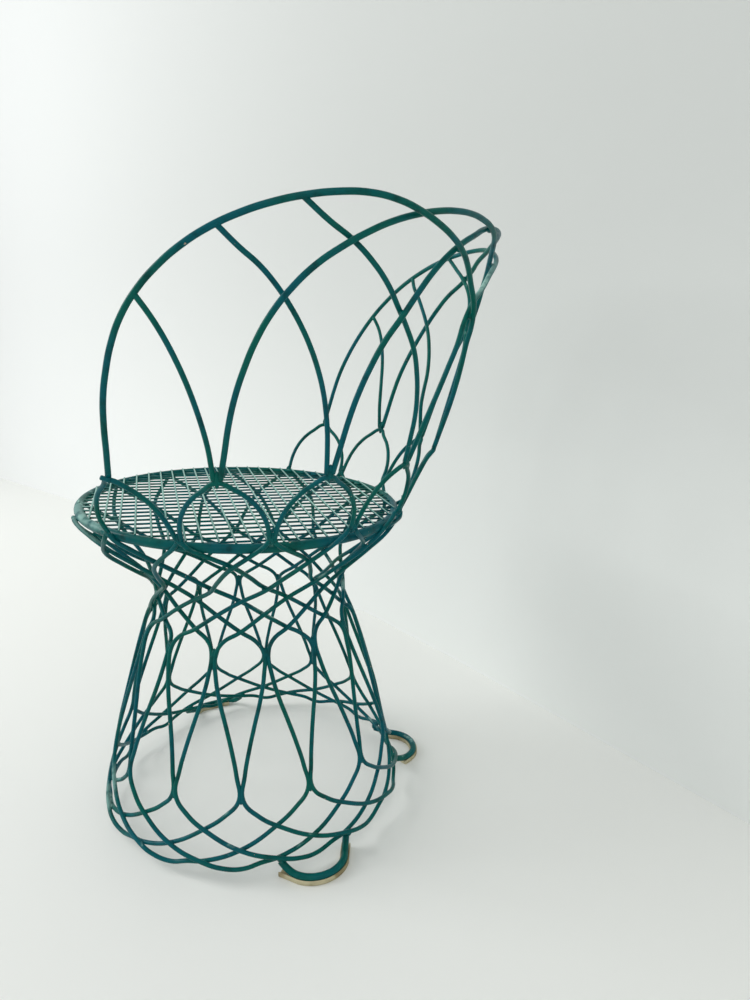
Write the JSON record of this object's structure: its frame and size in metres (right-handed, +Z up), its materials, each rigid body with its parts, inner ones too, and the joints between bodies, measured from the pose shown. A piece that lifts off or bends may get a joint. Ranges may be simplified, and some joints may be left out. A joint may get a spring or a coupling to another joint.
{
  "type": "welded steel rod tub chair",
  "caption": "Round tub chair of bent and welded steel rods, with a ring rim, a square wire mesh seat, a low arched back and an open flared base on small feet",
  "frame": {"origin": "on the floor, under the middle of the chair's bounding box", "axes": "+Z is up, -Y is the open front of the seat, +Y is the middle of the back, and +X is the side on the sitter's left hand when seated facing -Y"},
  "size_m": [0.606, 0.5722, 0.796],
  "materials": {
    "frame_paint": "glossy teal enamel on bent steel rod, with small worn and chipped spots",
    "mesh_paint": "the same teal enamel on thin welded mesh wires",
    "glide": "matt beige plastic strip, slightly scuffed"
  },
  "bodies": {
    "root": {"base_rod_01": "frame_paint", "base_rod_02": "frame_paint", "base_rod_03": "frame_paint", "base_rod_04": "frame_paint", "base_rod_05": "frame_paint", "base_rod_06": "frame_paint", "base_rod_07": "frame_paint", "base_rod_08": "frame_paint", "base_rod_09": "frame_paint", "base_rod_10": "frame_paint", "base_rod_11": "frame_paint", "base_rod_12": "frame_paint", "base_rod_13": "frame_paint", "base_rod_14": "frame_paint", "seat_rim": "frame_paint", "seat_mesh": "mesh_paint", "small_arch_1": "frame_paint", "small_arch_2": "frame_paint", "small_arch_3": "frame_paint", "small_arch_4": "frame_paint", "small_arch_5": "frame_paint", "small_arch_6": "frame_paint", "small_arch_7": "frame_paint", "small_arch_8": "frame_paint", "back_arch_outer_right": "frame_paint", "back_arch_inner_right": "frame_paint", "back_arch_outer_left": "frame_paint", "back_arch_inner_left": "frame_paint", "back_rod_right_1": "frame_paint", "back_rod_right_2": "frame_paint", "back_rod_right_3": "frame_paint", "back_rod_left_1": "frame_paint", "back_rod_left_2": "frame_paint", "back_rod_left_3": "frame_paint", "foot_loop_1": "frame_paint", "foot_loop_2": "frame_paint", "foot_loop_3": "frame_paint", "foot_glide_1": "glide", "foot_glide_2": "glide", "foot_glide_3": "glide"}
  },
  "joints": []
}
